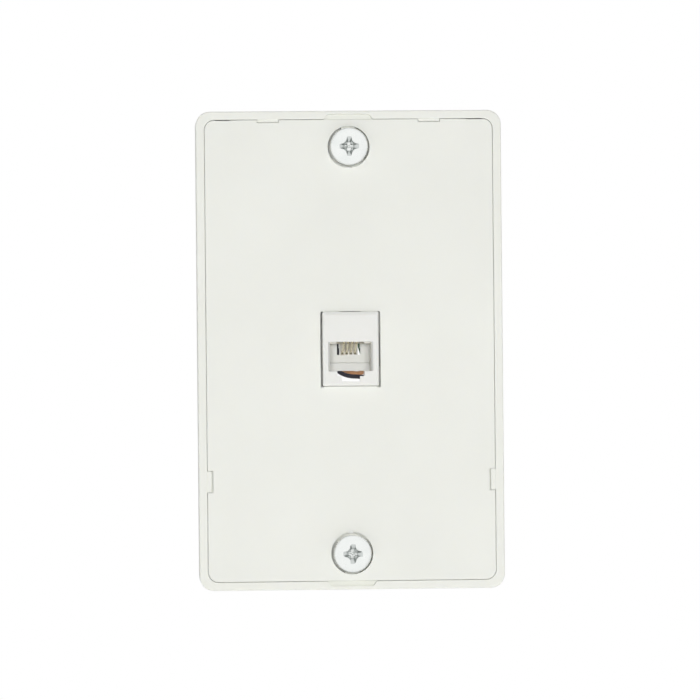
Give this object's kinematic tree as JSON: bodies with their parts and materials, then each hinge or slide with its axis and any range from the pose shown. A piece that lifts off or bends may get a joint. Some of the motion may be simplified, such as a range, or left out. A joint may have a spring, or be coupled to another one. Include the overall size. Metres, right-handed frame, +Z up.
{
  "type": "telephone wall socket",
  "caption": "Flush wall plate for a hanging telephone: clipped cover over a moulded base, a modular jack in the middle and a shouldered stud above and below it.",
  "frame": {"origin": "middle of the plate on the wall's surface, in the plane that the plate bears on", "axes": "+Z up along the wall, through both studs; +Y into the wall, the plug comes from -Y; +X right for somebody who faces the plate"},
  "size_m": [0.073, 0.0243, 0.1142],
  "materials": {
    "base_plastic": "moulded satin gloss, off-white",
    "cover_plastic": "moulded satin gloss, off-white",
    "jack_plastic": "moulded gloss, off-white",
    "carrier_plastic": "moulded, cream",
    "contact_gold": "gold plated spring wire",
    "insulation_red": "PVC insulation",
    "insulation_green": "PVC insulation",
    "insulation_orange": "PVC insulation",
    "insulation_black": "PVC insulation",
    "washer_steel": "zinc plated",
    "lug_tin": "tinned sheet",
    "screw_steel": "zinc plated",
    "stud_nickel": "bright nickel plate",
    "insert_brass": "turned"
  },
  "bodies": {
    "root": {"base_frame": "base_plastic", "cover": "cover_plastic", "jack_housing": "jack_plastic", "contact_carrier": "carrier_plastic", "contact_wire_1": "contact_gold", "contact_wire_2": "contact_gold", "contact_wire_3": "contact_gold", "contact_wire_4": "contact_gold", "lead_red": "insulation_red", "lead_green": "insulation_green", "lead_orange": "insulation_orange", "lead_black": "insulation_black", "inner_washer_upper_left": "washer_steel", "spade_lug_upper_left": "lug_tin", "outer_washer_upper_left": "washer_steel", "terminal_screw_upper_left": "screw_steel", "inner_washer_lower_left": "washer_steel", "spade_lug_lower_left": "lug_tin", "outer_washer_lower_left": "washer_steel", "terminal_screw_lower_left": "screw_steel", "inner_washer_upper_right": "washer_steel", "spade_lug_upper_right": "lug_tin", "outer_washer_upper_right": "washer_steel", "terminal_screw_upper_right": "screw_steel", "inner_washer_lower_right": "washer_steel", "spade_lug_lower_right": "lug_tin", "outer_washer_lower_right": "washer_steel", "terminal_screw_lower_right": "screw_steel", "upper_stud_screw": "stud_nickel", "upper_stud_insert": "insert_brass", "lower_stud_screw": "stud_nickel", "lower_stud_insert": "insert_brass"}
  },
  "joints": []
}
